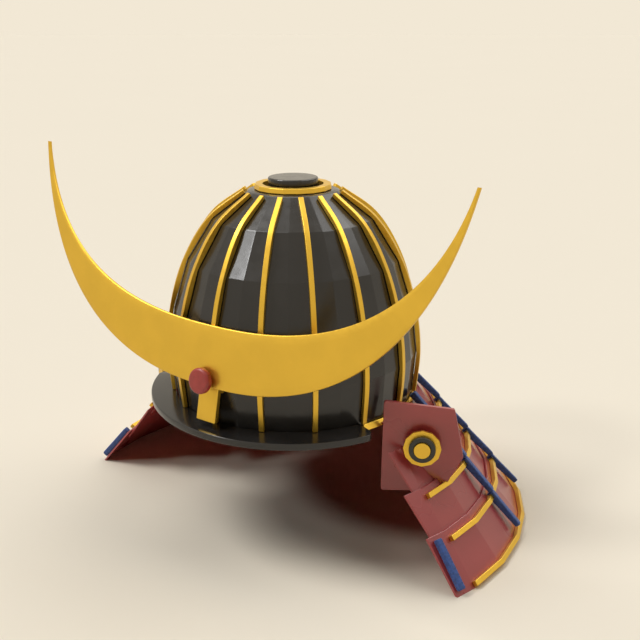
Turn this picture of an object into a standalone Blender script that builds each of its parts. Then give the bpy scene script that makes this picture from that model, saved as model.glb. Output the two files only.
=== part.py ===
"""A samurai helmet that stands on its neck guard.

The bowl's base line is z = 0 while the pieces are made, its axis is Z and its front faces -Y.
At the end an empty carries every piece so that the helmet stands on z = 0, centred on the origin.
Angles round the bowl are measured from the front towards +X, in degrees. Lengths are metres.
"""
import bmesh
import bpy
import math
from mathutils import Matrix, Vector

FIT = 0.0003  # clearance between two pieces that seat on each other

# Bowl
BOWL_RADIUS = 0.1130
BOWL_HEIGHT = 0.1823
BOWL_WALL = 0.0022
BOWL_SIDES = 32
BOWL_SKIRT = 0.0050
CROWN_SEAT_RADIUS = 0.323 * BOWL_RADIUS
CROWN_SEAT_RISE = 0.0009
# columns: share of BOWL_HEIGHT, share of BOWL_RADIUS, from the base up
BOWL_ROWS = (
    (0.0, 0.973),
    (0.22, 1.0),
    (0.44, 0.958),
    (0.677, 0.836),
    (0.874, 0.631),
    (1.0, 0.3515),
)

# Ribs
RIB_COUNT = 16
RIB_WIDTH = 0.0044
RIB_HEIGHT = 0.0034
RIB_TOP_MARGIN = 0.0030

# Crown fittings
CROWN_SEAT_MARGIN = 0.0021
CROWN_RING_OUTER = CROWN_SEAT_RADIUS - CROWN_SEAT_MARGIN
CROWN_RING_WIDTH = 0.0074
CROWN_RING_INNER = CROWN_RING_OUTER - CROWN_RING_WIDTH
CROWN_RING_HEIGHT = 0.0045
CROWN_RING_TAPER = 0.0009
CROWN_RING_SIDES = 16
CAP_GAP = 0.0049
CAP_RADIUS = CROWN_RING_INNER - CAP_GAP
CAP_HEIGHT = 0.0100
CAP_BEVEL = 0.0013

# Visor
VISOR_REACH = 0.0200
VISOR_RADIUS = BOWL_RADIUS + VISOR_REACH
VISOR_THICK = 0.0062
VISOR_RISE = 0.0011
VISOR_HALF_ANGLE = 66.0
VISOR_CORNER = 0.0070
VISOR_BEVEL = 0.0007

# Neck guard: four lames on one cone, measured down the slope from the bowl's base line
NECK_SLOPE = 48.5
NECK_STANDOFF = 0.00355
NECK_TOP_RADIUS = BOWL_ROWS[0][1] * BOWL_RADIUS + NECK_STANDOFF
NECK_LENGTH = 0.1561
NECK_HALF_GAP = 67.5
LAME_THICK = 0.0018
LAME_LIFT = 0.0006
FOLD_ANGLE = 360.0 / BOWL_SIDES
# columns: top edge and bottom edge as shares of NECK_LENGTH
LAME_EDGES = (
    (0.008, 0.2217),
    (0.181, 0.479),
    (0.421, 0.729),
    (0.669, 1.0),
)
# how far in front of the bowl's axis each lame ends, at its top edge and at its bottom edge,
# as shares of NECK_TOP_RADIUS
LAME_FRONTS = {
    2: (0.3427, 0.3427),
    3: (0.4388, 0.4388),
    4: (0.4890, 0.5436),
}
BAND_HEIGHT = 0.0045
BAND_DEPTH = 0.0060

# Gilt trims
TRIM_WIDTH = 0.0045
TRIM_HEIGHT = 0.0043
TRIM_HALF_GAP = 78.75
# columns: lame, distance of the trim's middle below that lame's top edge as a share of NECK_LENGTH
TRIM_PLACES = (
    (2, 0.0154),
    (3, 0.0525),
    (4, 0.0532),
)
TRIM_BOTTOM_MARGIN = 0.0033

# Lacing
LACE_WIDTH = 0.0062
LACE_THICK = 0.0050
LACE_BEVEL = 0.0009
LACE_LEAD = 0.0037
LACE_START = -0.0042
LACE_HEAD_LIFT = 0.0029
LACE_TAIL_LIFT = 0.0042
LACE_END_MARGIN = 0.0047
LACE_ANGLES = (104.0, 126.0)
FRONT_LACE_ANGLE = 74.6
FRONT_LACE_THICK = 0.0056
FRONT_LACE_START = 0.0038
FRONT_LACE_MARGIN = 0.0039

# Turned-back plates
PLATE_DOWN_SHARE = 0.3928
PLATE_SINK = 0.0006
PLATE_FORWARD = 0.0108
PLATE_HEIGHT = 0.0819
PLATE_TURN = 28.0
PLATE_TILT = 3.0
PLATE_THICK = 0.0039
PLATE_CORNER = 0.0022
PLATE_BEVEL = 0.0006
# corners along the plate and up it from its origin, as shares of PLATE_HEIGHT
PLATE_CORNERS = (
    (-0.5385, -0.1978),
    (0.1026, -0.1709),
    (0.1844, -0.0159),
    (0.3053, 0.2234),
    (0.1978, 0.7436),
    (-0.5275, 0.8022),
)

# Gilt discs on the plates: their place along the plate and up it, as shares of PLATE_HEIGHT
DISC_PLACE = (-0.1197, 0.3407)
DISC_RADIUS = 0.0160
DISC_SIDES = 12
DISC_THICK = 0.0024
DISC_STANDOFF = 0.0067
DISC_STEM_RADIUS = 0.0062
DISC_RING_OUTER = 0.0113
DISC_RING_HEIGHT = 0.0036
DISC_BOSS_RADIUS = 0.0069
DISC_BOSS_HEIGHT = 0.0045

# Front crest: heights are measured up its leaning plane
CREST_STANDOFF = 0.0202
CREST_PLANE_OUT = BOWL_RADIUS + CREST_STANDOFF
CREST_LEAN = 12.15
CREST_THICK = 0.0031
CREST_HALF_SPAN = 0.2160
CREST_TIP_HEIGHT = 0.2225
CREST_TIP_WIDTH = 0.0022
CREST_LOWER_EDGE = 0.0396
CREST_UPPER_EDGE = 0.0904
CREST_BEVEL = 0.0006
# handles as shares of the half span and of the tip's height: at the middle, then at the tip
CREST_LOWER_HANDLES = (0.137, (0.860, 0.147))
CREST_UPPER_HANDLES = (0.235, (0.857, 0.412))
CREST_STEPS = 12

# Stud that holds the crest
STUD_HEIGHT = 0.0444
STUD_RADIUS = 0.0108
STUD_FACE = 0.0083
STUD_BACK = 0.0023
STUD_ROUND = 0.0026
STUD_COLLAR = 0.0070
STUD_NECK = 0.0050

# Crest holder
HOLDER_WIDTH = 0.0202
HOLDER_BOTTOM = 0.0086
HOLDER_TOP = 0.0597
HOLDER_SETBACK = 0.0035
HOLDER_THICK = 0.0043
HOLDER_SHELF_DROP = 0.0008
HOLDER_BACK_DROP = 0.0048
HOLDER_BEVEL = 0.0005

BLACK = (0.045, 0.043, 0.042)
GOLD = (0.70, 0.40, 0.06)
RED = (0.27, 0.045, 0.045)
BLUE = (0.025, 0.065, 0.16)


def material(name, colour, roughness, metallic):
    made = bpy.data.materials.new(name)
    made.use_nodes = True
    shader = made.node_tree.nodes["Principled BSDF"]
    shader.inputs["Base Color"].default_value = (*colour, 1.0)
    shader.inputs["Roughness"].default_value = roughness
    shader.inputs["Metallic"].default_value = metallic
    made.diffuse_color = (*colour, 1.0)
    return made


class Workshop:
    """The collections, the carrying empty and the ways of making a piece."""

    def __init__(self):
        for thing in list(bpy.data.objects):
            bpy.data.objects.remove(thing, do_unlink=True)
        self.pieces = bpy.data.collections.new("kabuto_helmet")
        self.cutters = bpy.data.collections.new("cutters")
        bpy.context.scene.collection.children.link(self.pieces)
        bpy.context.scene.collection.children.link(self.cutters)
        self.carrier = bpy.data.objects.new("carrier", None)
        self.pieces.objects.link(self.carrier)

    def add(self, name, mesh, place=None, colour=None):
        """An object of the helmet, placed in the bowl's frame and carried by the empty."""
        made = bpy.data.objects.new(name, mesh)
        self.pieces.objects.link(made)
        made.parent = self.carrier
        made.matrix_basis = place or Matrix.Identity(4)
        if colour:
            mesh.materials.append(material(name, *colour))
        return made

    def make_cutter(self, thing):
        """Moves an object among the cutters, out of the model."""
        self.pieces.objects.unlink(thing)
        self.cutters.objects.link(thing)
        thing.hide_render = True
        thing.display_type = "WIRE"
        return thing


def spot(origin, along, up):
    """A placing whose X runs along, whose Y runs up and whose Z faces out of both."""
    x = Vector(along).normalized()
    z = x.cross(Vector(up)).normalized()
    y = z.cross(x)
    placed = Matrix((x, y, z)).transposed().to_4x4()
    placed.translation = Vector(origin)
    return placed


def turn_to(angle):
    """Turns a profile drawn at +X to an angle measured from the front."""
    return Matrix.Rotation(math.radians(angle - 90.0), 4, "Z")


def line_mesh(name, points, closed):
    """A profile in the XZ plane, given as (radius, height) pairs."""
    mesh = bpy.data.meshes.new(name)
    count = len(points)
    edges = [(i, (i + 1) % count) for i in range(count if closed else count - 1)]
    mesh.from_pydata([(r, 0.0, z) for r, z in points], edges, [])
    return mesh


def screw(thing, sweep, steps):
    turned = thing.modifiers.new("Screw", "SCREW")
    turned.angle = math.radians(sweep)
    turned.steps = steps
    turned.render_steps = steps
    turned.use_merge_vertices = sweep == 360.0
    turned.merge_threshold = 0.00001
    turned.use_smooth_shade = False


def solidify(thing, thickness):
    wall = thing.modifiers.new("Solidify", "SOLIDIFY")
    wall.thickness = thickness
    wall.offset = -1.0
    wall.use_even_offset = True


def bevel(thing, width, segments=1, angle=30.0):
    edge = thing.modifiers.new("Bevel", "BEVEL")
    edge.width = width
    edge.segments = segments
    edge.limit_method = "ANGLE"
    edge.angle_limit = math.radians(angle)


def boolean(thing, other, operation="DIFFERENCE"):
    change = thing.modifiers.new("Boolean", "BOOLEAN")
    change.object = other
    change.operation = operation
    change.solver = "EXACT"


def box_mesh(name, low, high):
    mesh = bpy.data.meshes.new(name)
    cube = bmesh.new()
    bmesh.ops.create_cube(cube, size=1.0)
    middle = (Vector(low) + Vector(high)) / 2
    size = Vector(high) - Vector(low)
    bmesh.ops.scale(cube, vec=size, verts=cube.verts)
    bmesh.ops.translate(cube, vec=middle, verts=cube.verts)
    cube.to_mesh(mesh)
    cube.free()
    return mesh


def drum_mesh(name, radius, low, high, sides):
    """A cylinder on Z, from low to high."""
    mesh = bpy.data.meshes.new(name)
    drum = bmesh.new()
    bmesh.ops.create_cone(drum, cap_ends=True, segments=sides, radius1=radius, radius2=radius,
                          depth=high - low)
    bmesh.ops.translate(drum, vec=(0, 0, (low + high) / 2), verts=drum.verts)
    drum.to_mesh(mesh)
    drum.free()
    return mesh


def plate_mesh(name, outlines, back, front):
    """Flat outlines in the XY plane made solid from back to front with a filled 2D curve.

    An outline is a list of points, or of (point, left handle, right handle) for a Bezier curve.
    """
    curve = bpy.data.curves.new(name, "CURVE")
    curve.dimensions = "2D"
    curve.fill_mode = "BOTH"
    curve.extrude = (front - back) / 2
    for outline in outlines:
        if len(outline[0]) == 3:
            spline = curve.splines.new("BEZIER")
            spline.bezier_points.add(len(outline) - 1)
            spline.resolution_u = CREST_STEPS
            for knot, (point, left, right) in zip(spline.bezier_points, outline):
                knot.handle_left_type = "FREE"
                knot.handle_right_type = "FREE"
                knot.co = (*point, 0)
                knot.handle_left = (*left, 0)
                knot.handle_right = (*right, 0)
        else:
            spline = curve.splines.new("POLY")
            spline.points.add(len(outline) - 1)
            for knot, point in zip(spline.points, outline):
                knot.co = (*point, 0, 1)
        spline.use_cyclic_u = True
    drawn = bpy.data.objects.new(name + "_outline", curve)
    bpy.context.scene.collection.objects.link(drawn)
    bpy.context.view_layer.update()
    mesh = bpy.data.meshes.new_from_object(drawn.evaluated_get(bpy.context.evaluated_depsgraph_get()))
    mesh.name = name
    mesh.materials.clear()
    welded = bmesh.new()
    welded.from_mesh(mesh)
    bmesh.ops.remove_doubles(welded, verts=welded.verts, dist=0.00001)
    bmesh.ops.translate(welded, vec=(0, 0, (front + back) / 2), verts=welded.verts)
    bmesh.ops.recalc_face_normals(welded, faces=welded.faces)
    welded.to_mesh(mesh)
    welded.free()
    bpy.data.objects.remove(drawn, do_unlink=True)
    bpy.data.curves.remove(curve)
    return mesh


def rounded(corners, radius, steps=3):
    """An outline whose corners are arcs of the given radius."""
    outline = []
    count = len(corners)
    for i in range(count):
        here = Vector(corners[i])
        before = (Vector(corners[i - 1]) - here).normalized()
        after = (Vector(corners[(i + 1) % count]) - here).normalized()
        half = before.angle(after) / 2
        centre = here + (before + after).normalized() * (radius / math.sin(half))
        start = here + before * (radius / math.tan(half)) - centre
        end = here + after * (radius / math.tan(half)) - centre
        sweep = start.angle_signed(end)
        for k in range(steps + 1):
            turned = start.copy()
            turned.rotate(Matrix.Rotation(-sweep * k / steps, 2))
            outline.append(tuple(centre + turned))
    return outline


def mirrored(shop, thing, name):
    """The same piece on the other side of the helmet."""
    flip = Matrix.Scale(-1, 4, (1, 0, 0))
    bpy.context.view_layer.update()
    mesh = bpy.data.meshes.new_from_object(thing.evaluated_get(bpy.context.evaluated_depsgraph_get()))
    mesh.name = name
    mesh.transform(flip)
    mesh.flip_normals()
    mesh.materials.clear()
    twin = shop.add(name, mesh, flip @ thing.matrix_basis @ flip)
    for used in thing.data.materials:
        mesh.materials.append(used.copy())
    return twin


# The bowl and what is fastened to it

def bowl_line(grow=0.0):
    """The bowl's outer line from its top edge to the bottom of its skirt, grown outwards."""
    line = [(share_r * BOWL_RADIUS, share_z * BOWL_HEIGHT) for share_z, share_r in reversed(BOWL_ROWS)]
    foot_r, foot_z = line[-1]
    line.append((foot_r, foot_z - BOWL_SKIRT))
    return offset_line(line, grow)


def offset_line(line, grow):
    """Moves an open line outwards, to the right of its way down, with mitred corners."""
    moved = []
    for i, (r, z) in enumerate(line):
        normals = []
        for a, b in ((i - 1, i), (i, i + 1)):
            if 0 <= a and b < len(line):
                way = Vector(line[b]) - Vector(line[a])
                normals.append(Vector((-way.y, way.x)).normalized())
        mean = sum(normals, Vector((0.0, 0.0))).normalized()
        step = mean * (grow / mean.dot(normals[0]))
        moved.append((r + step.x, z + step.y))
    return moved


def line_radius(line, height):
    """The radius of an open line at a height."""
    for (r1, z1), (r2, z2) in zip(line, line[1:]):
        if z2 <= height <= z1:
            return r1 + (r2 - r1) * (z1 - height) / (z1 - z2)
    return line[-1][0]


def crown_seat():
    return BOWL_HEIGHT + CROWN_SEAT_RISE


def bowl_shell(shop):
    line = [(0.0, crown_seat()), (CROWN_SEAT_RADIUS, crown_seat())] + bowl_line()
    made = shop.add("bowl_shell", line_mesh("bowl_shell", line, False), colour=(BLACK, 0.35, 0.6))
    screw(made, 360.0, BOWL_SIDES)
    solidify(made, BOWL_WALL)
    return made


def bowl_envelope(shop, grow):
    """A solid of the bowl's outside, to cut what seats on the bowl."""
    line = bowl_line(grow)
    top_z = line[0][1]
    foot_z = line[-1][1] - VISOR_THICK
    loop = [(0.0, top_z)] + line + [(line[-1][0], foot_z), (0.0, foot_z)]
    made = shop.add("bowl_envelope", line_mesh("bowl_envelope", loop, False))
    screw(made, 360.0, BOWL_SIDES)
    return shop.make_cutter(made)


def rib_mesh(name, clearance):
    """A square bar that follows the bowl, grown by a clearance where it cuts another piece."""
    inner = bowl_line(FIT - clearance)
    outer = bowl_line(FIT + RIB_HEIGHT + clearance)
    low = VISOR_RISE + FIT - clearance
    top = Vector(bowl_line()[0])
    down = (Vector(bowl_line()[1]) - top).normalized() * (RIB_TOP_MARGIN - clearance)
    path = []
    for line in (inner, outer):
        kept = [(r, z) for r, z in line[1:] if z > low]
        first = Vector(line[0]) + down
        path.append([tuple(first)] + kept + [(line_radius(line, low), low)])
    outline = path[0] + path[1][::-1]
    half = RIB_WIDTH / 2 + clearance
    return plate_mesh(name, [outline], -half, half)


def rib_place(angle):
    """The rib's outline has X outwards and Y up."""
    return turn_to(angle) @ spot((0, 0, 0), (1, 0, 0), (0, 0, 1))


def ribs(shop):
    mesh = rib_mesh("rib", 0.0)
    mesh.materials.append(material("rib", GOLD, 0.3, 1.0))
    return [
        shop.add(f"rib_{i + 1:02d}", mesh, rib_place(360.0 * i / RIB_COUNT))
        for i in range(RIB_COUNT)
    ]


def crown_ring(shop):
    foot = crown_seat() + FIT
    top = foot + CROWN_RING_HEIGHT
    loop = [
        (CROWN_RING_INNER, top),
        (CROWN_RING_OUTER - CROWN_RING_TAPER, top),
        (CROWN_RING_OUTER, foot),
        (CROWN_RING_INNER, foot),
    ]
    made = shop.add("crown_ring", line_mesh("crown_ring", loop, True), colour=(GOLD, 0.3, 1.0))
    screw(made, 360.0, CROWN_RING_SIDES)
    return made


def crown_cap(shop):
    foot = crown_seat() + FIT
    mesh = drum_mesh("crown_cap", CAP_RADIUS, foot, foot + CAP_HEIGHT, BOWL_SIDES)
    made = shop.add("crown_cap", mesh, colour=(BLACK, 0.35, 0.6))
    bevel(made, CAP_BEVEL, 2, 60.0)
    return made


def polar(radius, angle):
    """A point round the bowl's axis seen from above, with the front at -Y."""
    return (radius * math.sin(math.radians(angle)), -radius * math.cos(math.radians(angle)))


def arc(radius, start, end, steps):
    return [polar(radius, start + (end - start) * k / steps) for k in range(steps + 1)]


def visor(shop):
    inner_radius = line_radius(bowl_line(), VISOR_RISE) + FIT
    folds = math.floor(VISOR_HALF_ANGLE / (FOLD_ANGLE / 2))
    reach = folds * FOLD_ANGLE / 2
    end = VISOR_HALF_ANGLE
    turn = math.degrees(VISOR_CORNER / VISOR_RADIUS)
    inner = [polar(inner_radius, end)] + arc(inner_radius, reach, -reach, 2 * folds)
    inner.append(polar(inner_radius, -end))
    outer = arc(VISOR_RADIUS, turn - end, end - turn, 2 * folds)
    corner = VISOR_RADIUS - VISOR_CORNER
    round_left = []
    round_right = []
    for k in range(4):
        lean = math.radians(90.0 * k / 4)
        radius = corner + VISOR_CORNER * math.sin(lean)
        angle = end - turn + turn * math.cos(lean)
        round_left.append(polar(radius, -angle))
        round_right.insert(0, polar(radius, angle))
    outline = inner + round_left + outer + round_right
    mesh = plate_mesh("visor", [outline], VISOR_RISE - VISOR_THICK, VISOR_RISE)
    made = shop.add("visor", mesh, colour=(BLACK, 0.35, 0.6))
    bevel(made, VISOR_BEVEL, 1, 50.0)
    return made


# The neck guard

SLOPE_DOWN = Vector((math.cos(math.radians(NECK_SLOPE)), -math.sin(math.radians(NECK_SLOPE))))
SLOPE_OUT = Vector((-SLOPE_DOWN.y, SLOPE_DOWN.x))


def cone_point(down, out):
    """The (radius, height) of a place down the neck guard's cone and out from it."""
    return Vector((NECK_TOP_RADIUS, 0.0)) + SLOPE_DOWN * down + SLOPE_OUT * out


def lame_span(number):
    top, bottom = LAME_EDGES[number - 1]
    return top * NECK_LENGTH, bottom * NECK_LENGTH


def lame_out(number, down):
    """How far a lame's outer face lies out from the cone.

    A lame's top edge is lifted, and its lower part tucks under the top edge of the next lame.
    """
    top, bottom = lame_span(number)
    if number < len(LAME_EDGES):
        tuck = lame_span(number + 1)[0]
        tuck_out = LAME_LIFT - LAME_THICK - FIT
    else:
        tuck = bottom
        tuck_out = -FIT
    return LAME_LIFT + (tuck_out - LAME_LIFT) * (down - top) / (tuck - top)


def lame_line(number, start, end, out):
    """Two points on a lame's outer face, moved out from it."""
    return [tuple(cone_point(down, lame_out(number, down) + out)) for down in (start, end)]


def floor_height():
    bottom = lame_span(4)[1]
    return cone_point(bottom, lame_out(4, bottom)).y


def neck_ring(shop, name, line, thickness, half_gap, colour=None):
    """A folded sheet round the back of the helmet, open in front by half_gap on each side."""
    made = shop.add(name, line_mesh(name, line, False), turn_to(half_gap), colour)
    sweep = 360.0 - 2 * half_gap
    screw(made, sweep, round(sweep / FOLD_ANGLE))
    solidify(made, thickness)
    return made


def lame(shop, number, grow=0.0):
    """One lame, grown by a clearance where it cuts another piece."""
    start, end = lame_span(number)
    if number == len(LAME_EDGES):
        end += LAME_THICK
    line = lame_line(number, start - grow, end + grow, grow)
    name = f"lame_{number}"
    made = neck_ring(shop, name, line, LAME_THICK + 2 * grow, NECK_HALF_GAP, (RED, 0.35, 0.0))
    if number in LAME_FRONTS:
        boolean(made, front_cutter(shop, number, grow))
    if number == len(LAME_EDGES):
        reach = 2 * CREST_HALF_SPAN
        floor = box_mesh("floor_cutter", (-reach, -reach, -reach), (reach, reach, floor_height()))
        boolean(made, shop.make_cutter(shop.add("floor_cutter", floor)))
    return made


def front_cutter(shop, number, grow):
    """A box whose back face is the plane that ends a lame at the front."""
    top, bottom = lame_span(number)
    high = cone_point(top, 0).y
    low = cone_point(bottom, 0).y
    front_high, front_low = (share * NECK_TOP_RADIUS for share in LAME_FRONTS[number])
    back = spot((0, -front_high, high), (1, 0, 0), (0, front_high - front_low, high - low))
    reach = 2 * CREST_HALF_SPAN
    mesh = box_mesh("front_cutter", (-reach, -reach, grow), (reach, reach, reach))
    return shop.make_cutter(shop.add("front_cutter", mesh, back))


def trim_line(number, middle, grow):
    half = TRIM_WIDTH / 2 + grow
    return lame_line(number, middle - half, middle + half, FIT + TRIM_HEIGHT + grow)


def trim_middles():
    places = [(number, lame_span(number)[0] + drop * NECK_LENGTH) for number, drop in TRIM_PLACES]
    places.append((4, lame_span(4)[1] - TRIM_BOTTOM_MARGIN))
    return places


def trim(shop, index, grow=0.0):
    number, middle = trim_middles()[index]
    name = f"trim_{index + 1}"
    line = trim_line(number, middle, grow)
    half_gap = TRIM_HALF_GAP
    return neck_ring(shop, name, line, TRIM_HEIGHT + 2 * grow, half_gap, (GOLD, 0.3, 1.0))


def base_band(shop, envelope):
    """The gilt band round the bowl's base, on which the top lame hangs."""
    under = -LAME_THICK - FIT
    start, end = lame_span(1)
    (r1, z1), (r2, z2) = lame_line(1, start, end, under)
    slope = (r2 - r1) / (z2 - z1)
    line = [(r1 + slope * (z - z1), z) for z in (0.0, -BAND_HEIGHT)]
    made = neck_ring(shop, "base_band", line, BAND_DEPTH, NECK_HALF_GAP, (GOLD, 0.3, 1.0))
    boolean(made, envelope)
    return made


# The lacing

def lace_joints():
    """Where one lacing bar ends and the next begins, down the slope."""
    middles = trim_middles()
    joints = [LACE_START]
    joints += [middle - LACE_LEAD for _, middle in middles[:3]]
    joints.append(middles[3][1] - LACE_END_MARGIN)
    return joints


def lace_place(angle, start, end):
    """Lies on the fold's flat side, X down the slope and Y across, so Z faces out.

    On a fold line itself the bar faces straight out.
    """
    fold = angle / FOLD_ANGLE
    on_line = abs(fold - round(fold)) < 0.01
    middle = angle if on_line else (math.floor(fold) + 0.5) * FOLD_ANGLE
    flat = 1.0 if on_line else math.cos(math.radians(FOLD_ANGLE / 2))
    flat /= math.cos(math.radians(angle - middle))
    ends = []
    for down in (start, end):
        r, z = cone_point(down, 0.0)
        aim = math.radians(angle)
        ends.append(Vector((r * flat * math.sin(aim), -r * flat * math.cos(aim), z)))
    across = Vector((math.cos(math.radians(middle)), math.sin(math.radians(middle)), 0.0))
    return spot(ends[0], ends[1] - ends[0], across)


def lace_bar(shop, name, angle, number, start, end, lifts, trims):
    """A bar whose side is a quadrilateral: seated at its head, lifted at its tail."""
    length = end - start - FIT
    seat_head = lame_out(number, start) + FIT
    head, tail, thick, seat_tail = lifts
    side = [(0.0, seat_head), (length, seat_tail), (length, tail + thick), (0.0, head + thick)]
    half = LACE_WIDTH / 2
    mesh = plate_mesh(name, [side], -half, half)
    # the side outline has Y outwards, so it is turned to lie on the slope
    mesh.transform(Matrix.Rotation(math.radians(90.0), 4, "X"))
    made = shop.add(name, mesh, lace_place(angle, start, end), (BLUE, 0.8, 0.0))
    bevel(made, LACE_BEVEL, 1, 40.0)
    for cutter in trims:
        boolean(made, cutter)
    return made


def lacing(shop, trim_cutters):
    joints = lace_joints()
    for side in (1, -1):
        mark = "r" if side == 1 else "l"
        start = lame_span(4)[0] + FRONT_LACE_START
        end = lame_span(4)[1] - FRONT_LACE_MARGIN
        seat = lame_out(4, end) + FIT
        lifts = (LAME_LIFT, LAME_LIFT, FRONT_LACE_THICK, seat)
        lace_bar(shop, f"lace_front_{mark}", side * FRONT_LACE_ANGLE, 4, start, end, lifts, [])
        for chain, angle in zip(("mid", "back"), LACE_ANGLES):
            lace_chain(shop, f"lace_{chain}_{mark}", side * angle, joints, trim_cutters)
    # the chain at the back starts below the rib above it
    joints[0] = lame_span(1)[0]
    lace_chain(shop, "lace_centre", 180.0, joints, trim_cutters)


def lace_chain(shop, name, angle, joints, trim_cutters):
    for number in range(1, 5):
        start, end = joints[number - 1], joints[number]
        crossed = [trim_cutters[number - 2]] if number > 1 else []
        lifts = (LACE_HEAD_LIFT, LACE_TAIL_LIFT, LACE_THICK, LACE_TAIL_LIFT)
        lace_bar(shop, f"{name}_{number}", angle, number, start, end, lifts, crossed)


# The turned-back plates and their discs

def plate_place():
    """The plate's own axes: its origin lies against the neck guard's cone."""
    turn = math.radians(PLATE_TURN)
    tilt = math.radians(PLATE_TILT)
    side = cone_point(PLATE_DOWN_SHARE * NECK_LENGTH, -PLATE_SINK)
    along = Vector((math.cos(turn), math.sin(turn), 0))
    out = Vector((math.sin(turn) * math.cos(tilt), -math.cos(turn) * math.cos(tilt), math.sin(tilt)))
    return spot((side.x, -PLATE_FORWARD, side.y), along, out.cross(along))


def disc_place():
    return plate_place() @ Matrix.Translation((*(share * PLATE_HEIGHT for share in DISC_PLACE), 0.0))


def turnback_plate(shop, cutters):
    corners = [(along * PLATE_HEIGHT, up * PLATE_HEIGHT) for along, up in PLATE_CORNERS]
    mesh = plate_mesh("turnback_plate_r", [rounded(corners, PLATE_CORNER)], -PLATE_THICK, 0.0)
    made = shop.add("turnback_plate_r", mesh, plate_place(), (RED, 0.35, 0.0))
    bevel(made, PLATE_BEVEL, 1, 60.0)
    for cutter in cutters:
        boolean(made, cutter)
    return made


def behind_plate(shop, thing):
    """Ends a piece on both sides just behind the turned-back plates."""
    flip = Matrix.Scale(-1, 4, (1, 0, 0))
    reach = NECK_TOP_RADIUS
    mesh = box_mesh("plate_side", (-reach, -reach, -PLATE_THICK - FIT), (reach, reach, reach))
    place = plate_place()
    for put in (place, flip @ place @ flip):
        boolean(thing, shop.make_cutter(shop.add("plate_side", mesh, put)))


def disc(shop):
    """The gilt disc with its boss in front and its stem behind, in one piece."""
    place = disc_place()
    back = DISC_STANDOFF
    face = back + DISC_THICK
    mesh = drum_mesh("disc_gilt_r", DISC_RADIUS, back, face, DISC_SIDES)
    made = shop.add("disc_gilt_r", mesh, place, (GOLD, 0.3, 1.0))
    overlap = DISC_THICK / 2
    boss = drum_mesh("boss", DISC_BOSS_RADIUS, face - overlap, face + DISC_BOSS_HEIGHT, 2 * DISC_SIDES)
    stem = drum_mesh("stem", DISC_STEM_RADIUS, FIT, back + overlap, 2 * DISC_SIDES)
    for name, joined in (("boss", boss), ("stem", stem)):
        boolean(made, shop.make_cutter(shop.add(name, joined, place)), "UNION")
    return made


def disc_ring(shop):
    place = disc_place()
    foot = DISC_STANDOFF + DISC_THICK + FIT
    top = foot + DISC_RING_HEIGHT - FIT
    inner = DISC_BOSS_RADIUS + FIT
    loop = [(inner, top), (DISC_RING_OUTER, top), (DISC_RING_OUTER, foot), (inner, foot)]
    made = shop.add("disc_ring_r", line_mesh("disc_ring_r", loop, True), place, (BLACK, 0.4, 0.3))
    screw(made, 360.0, 2 * DISC_SIDES)
    return made


# The front crest

def crest_place():
    lean = math.radians(CREST_LEAN)
    return spot((0, -CREST_PLANE_OUT, 0), (1, 0, 0), (0, math.sin(lean), math.cos(lean)))


def crest_outline():
    """A crescent: one Bezier arc along its lower edge and one back along its upper edge."""
    span = CREST_HALF_SPAN
    tip = CREST_TIP_HEIGHT
    half = CREST_TIP_WIDTH / 2
    low_mid, (low_x, low_y) = CREST_LOWER_HANDLES
    up_mid, (up_x, up_y) = CREST_UPPER_HANDLES
    low_hand = (low_x * span, low_y * tip)
    up_hand = (up_x * span, up_y * tip)
    outer_tip = (span + half, tip)
    inner_tip = (span - half, tip)
    bottom = (0.0, CREST_LOWER_EDGE)
    top = (0.0, CREST_UPPER_EDGE)

    def left(point):
        return (-point[0], point[1])

    def toward(a, b):
        return tuple(Vector(a).lerp(Vector(b), 1 / 3))

    return [
        (bottom, (-low_mid * span, bottom[1]), (low_mid * span, bottom[1])),
        (outer_tip, low_hand, toward(outer_tip, inner_tip)),
        (inner_tip, toward(inner_tip, outer_tip), up_hand),
        (top, (up_mid * span, top[1]), (-up_mid * span, top[1])),
        (left(inner_tip), left(up_hand), left(toward(inner_tip, outer_tip))),
        (left(outer_tip), left(toward(outer_tip, inner_tip)), left(low_hand)),
    ]


def crest_crescent(shop):
    mesh = plate_mesh("crest_crescent", [crest_outline()], -CREST_THICK, 0.0)
    made = shop.add("crest_crescent", mesh, crest_place(), (GOLD, 0.3, 1.0))
    bevel(made, CREST_BEVEL, 1, 60.0)
    place = crest_place() @ Matrix.Translation((0, STUD_HEIGHT, 0))
    notch = drum_mesh("notch", STUD_NECK + FIT, -2 * CREST_THICK, CREST_THICK, 20)
    boolean(made, shop.make_cutter(shop.add("notch", notch, place)))
    return made


def crest_stud(shop):
    place = crest_place() @ Matrix.Translation((0, STUD_HEIGHT, 0))
    face, back, turn = STUD_FACE, STUD_BACK, STUD_ROUND
    profile = [(0.0, face)]
    for k in range(4):
        lean = math.radians(90.0 * k / 3)
        profile.append((STUD_RADIUS - turn + turn * math.sin(lean), face - turn + turn * math.cos(lean)))
    profile += [
        (STUD_RADIUS, back + turn / 2),
        (STUD_RADIUS - turn / 2, back),
        (STUD_COLLAR, back),
        (STUD_COLLAR, FIT),
        (STUD_NECK, FIT),
        (STUD_NECK, -CREST_THICK),
        (0.0, -CREST_THICK),
    ]
    made = shop.add("crest_stud", line_mesh("crest_stud", profile, False), place, (RED, 0.4, 0.0))
    screw(made, 360.0, 20)
    return made


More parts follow.
